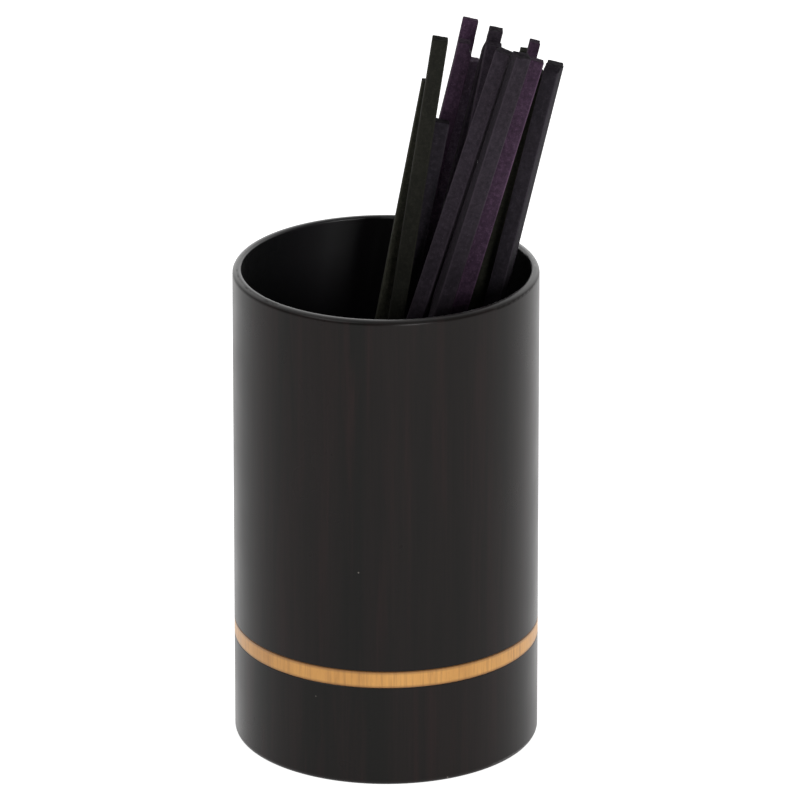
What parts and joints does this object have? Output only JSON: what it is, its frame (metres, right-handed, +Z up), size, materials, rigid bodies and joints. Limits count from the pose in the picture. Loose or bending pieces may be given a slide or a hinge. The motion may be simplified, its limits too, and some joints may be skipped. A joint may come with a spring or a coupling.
{
  "type": "incense stick holder",
  "caption": "Small round wooden cup with a pale inlaid ring near its base, holding a loose bundle of square incense sticks.",
  "frame": {"origin": "centre of the cup's flat underside", "axes": "+Z up along the cup's axis, -Y the front, +X the side that the sticks lean towards"},
  "size_m": [0.056, 0.052, 0.1248],
  "materials": {
    "dark_wood": "satin clear lacquer over near-black wood, glossy black inside",
    "maple": "satin clear lacquer over pale end-to-end maple",
    "olive_incense": "matte, powdery",
    "purple_incense": "matte, powdery",
    "violet_grey_incense": "matte, powdery",
    "grey_incense": "matte, powdery"
  },
  "bodies": {
    "cup": {"upper_barrel": "dark_wood", "maple_ring": "maple", "base_cup": "dark_wood"},
    "stick_01": {"incense_stick_01": "violet_grey_incense"},
    "stick_02": {"incense_stick_02": "violet_grey_incense"},
    "stick_03": {"incense_stick_03": "purple_incense"},
    "stick_04": {"incense_stick_04": "olive_incense"},
    "stick_05": {"incense_stick_05": "grey_incense"},
    "stick_06": {"incense_stick_06": "olive_incense"},
    "stick_07": {"incense_stick_07": "grey_incense"},
    "stick_08": {"incense_stick_08": "violet_grey_incense"},
    "stick_09": {"incense_stick_09": "olive_incense"},
    "stick_10": {"incense_stick_10": "purple_incense"},
    "stick_11": {"incense_stick_11": "violet_grey_incense"},
    "stick_12": {"incense_stick_12": "purple_incense"},
    "stick_13": {"incense_stick_13": "grey_incense"},
    "stick_14": {"incense_stick_14": "violet_grey_incense"},
    "stick_15": {"incense_stick_15": "olive_incense"},
    "stick_16": {"incense_stick_16": "purple_incense"}
  },
  "joints": [
    {"name": "stick_01_lift", "type": "slide", "parent": "cup", "child": "stick_01", "axis": [0.2891, 0.039, 0.9565], "range_m": [0, 0.088]},
    {"name": "stick_02_lift", "type": "slide", "parent": "cup", "child": "stick_02", "axis": [0.3002, 0.0419, 0.9529], "range_m": [0, 0.088]},
    {"name": "stick_03_lift", "type": "slide", "parent": "cup", "child": "stick_03", "axis": [0.2801, 0.0422, 0.959], "range_m": [0, 0.088]},
    {"name": "stick_04_lift", "type": "slide", "parent": "cup", "child": "stick_04", "axis": [0.1487, 0.0466, 0.9878], "range_m": [0, 0.088]},
    {"name": "stick_05_lift", "type": "slide", "parent": "cup", "child": "stick_05", "axis": [0.2329, 0.0458, 0.9714], "range_m": [0, 0.088]},
    {"name": "stick_06_lift", "type": "slide", "parent": "cup", "child": "stick_06", "axis": [0.1841, 0.0495, 0.9817], "range_m": [0, 0.088]},
    {"name": "stick_07_lift", "type": "slide", "parent": "cup", "child": "stick_07", "axis": [0.1865, 0.0494, 0.9812], "range_m": [0, 0.088]},
    {"name": "stick_08_lift", "type": "slide", "parent": "cup", "child": "stick_08", "axis": [0.1961, 0.0493, 0.9793], "range_m": [0, 0.088]},
    {"name": "stick_09_lift", "type": "slide", "parent": "cup", "child": "stick_09", "axis": [0.2364, 0.0489, 0.9704], "range_m": [0, 0.088]},
    {"name": "stick_10_lift", "type": "slide", "parent": "cup", "child": "stick_10", "axis": [0.2317, 0.052, 0.9714], "range_m": [0, 0.088]},
    {"name": "stick_11_lift", "type": "slide", "parent": "cup", "child": "stick_11", "axis": [0.2305, 0.0521, 0.9717], "range_m": [0, 0.088]},
    {"name": "stick_12_lift", "type": "slide", "parent": "cup", "child": "stick_12", "axis": [0.2329, 0.052, 0.9711], "range_m": [0, 0.088]},
    {"name": "stick_13_lift", "type": "slide", "parent": "cup", "child": "stick_13", "axis": [0.2294, 0.0521, 0.972], "range_m": [0, 0.088]},
    {"name": "stick_14_lift", "type": "slide", "parent": "cup", "child": "stick_14", "axis": [0.2199, 0.0553, 0.974], "range_m": [0, 0.088]},
    {"name": "stick_15_lift", "type": "slide", "parent": "cup", "child": "stick_15", "axis": [0.2199, 0.0553, 0.974], "range_m": [0, 0.088]},
    {"name": "stick_16_lift", "type": "slide", "parent": "cup", "child": "stick_16", "axis": [0.2115, 0.0585, 0.9756], "range_m": [0, 0.088]}
  ]
}
